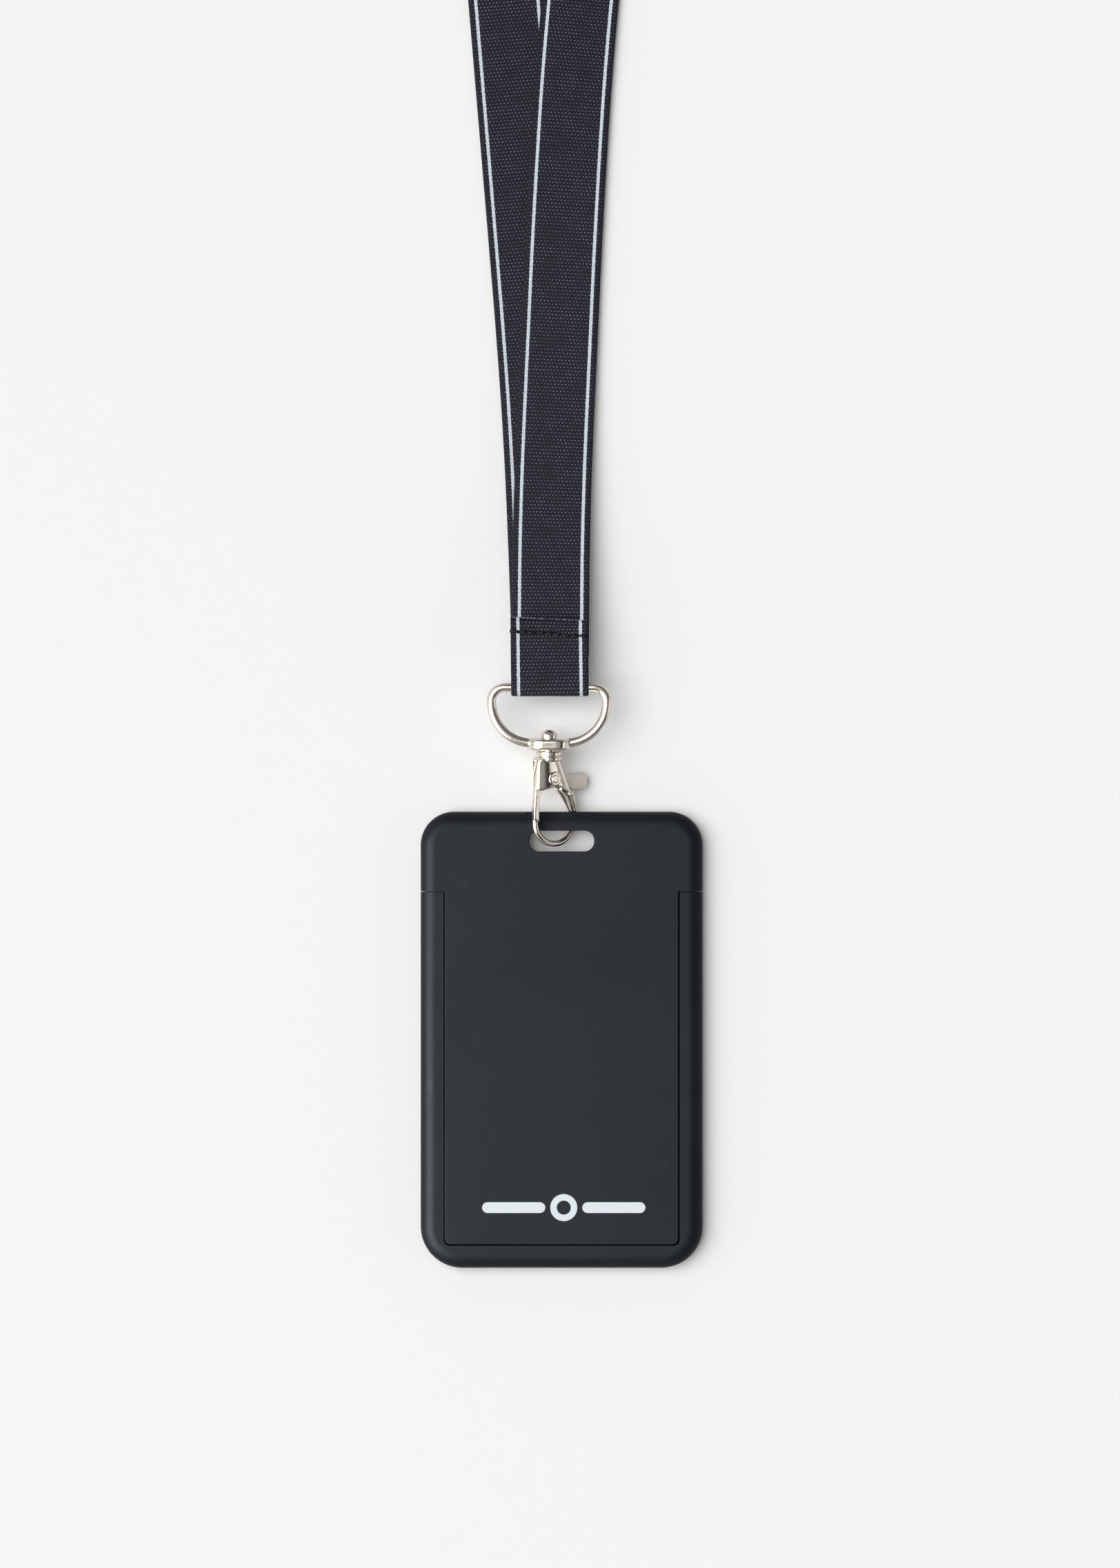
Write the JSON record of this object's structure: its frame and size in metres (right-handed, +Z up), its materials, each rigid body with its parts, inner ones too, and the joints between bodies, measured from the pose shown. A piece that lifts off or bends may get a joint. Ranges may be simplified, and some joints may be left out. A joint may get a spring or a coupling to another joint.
{
  "type": "lanyard badge holder",
  "caption": "Card case with a sliding cover, hung by a slot from a swivelling lobster hook, a D-ring and a woven neck strap sewn into a loop.",
  "frame": {"origin": "on the surface that the part lies on, under the middle of the card case and metal fittings", "axes": "+Y along the card case towards the neck strap, +Z up out of the case's front, +X to the right seen from the front with the strap up"},
  "size_m": [0.1329, 0.5472, 0.0191],
  "materials": {
    "webbing": "woven polyester, near black with two pale stripes",
    "thread": "black sewing thread",
    "nickel": "polished nickel plate",
    "lever_nickel": "nickel plate, tumbled, a little rough",
    "spring_steel": "drawn spring wire",
    "case_plastic": "fine matte grain, blue-black",
    "clear_plastic": "clear polished sheet"
  },
  "bodies": {
    "strap": {"neck_strap": "webbing", "seam_stitching": "thread"},
    "ring": {"d_ring": "nickel"},
    "hook": {"hook_body": "nickel", "lever_pin": "nickel", "lever_spring": "spring_steel", "swivel_rivet": "nickel"},
    "lever": {"gate_lever": "lever_nickel"},
    "slider": {"badge_slider": "case_plastic"},
    "frame": {"badge_frame": "case_plastic", "clear_window": "clear_plastic"}
  },
  "joints": [
    {"name": "ring_swing", "type": "hinge", "parent": "strap", "child": "ring", "pos_m": [-0.00303, 0.0694, 0.00903], "axis": [-1, 0, 0], "range_deg": [0, 110]},
    {"name": "hook_swivel", "type": "hinge", "parent": "ring", "child": "hook", "pos_m": [-0.00303, 0.03179, 0.00574], "axis": [0, 0.9962, 0.0872], "continuous": true},
    {"name": "lever_open", "type": "hinge", "parent": "hook", "child": "lever", "pos_m": [-0.00268, 0.0476, 0.00692], "axis": [0.5, -0.0755, 0.8627], "range_deg": [0, 11], "stiffness_Nm_per_rad": 0.02, "springref_deg": -20.05},
    {"name": "badge_turn", "type": "hinge", "parent": "hook", "child": "slider", "pos_m": [-0.00175, 0.03185, 0.005], "axis": [0, -0.9962, -0.0872], "range_deg": [0, 120]},
    {"name": "frame_slide", "type": "slide", "parent": "slider", "child": "frame", "axis": [0, -1, 0], "range_m": [0, 0.0597]}
  ]
}
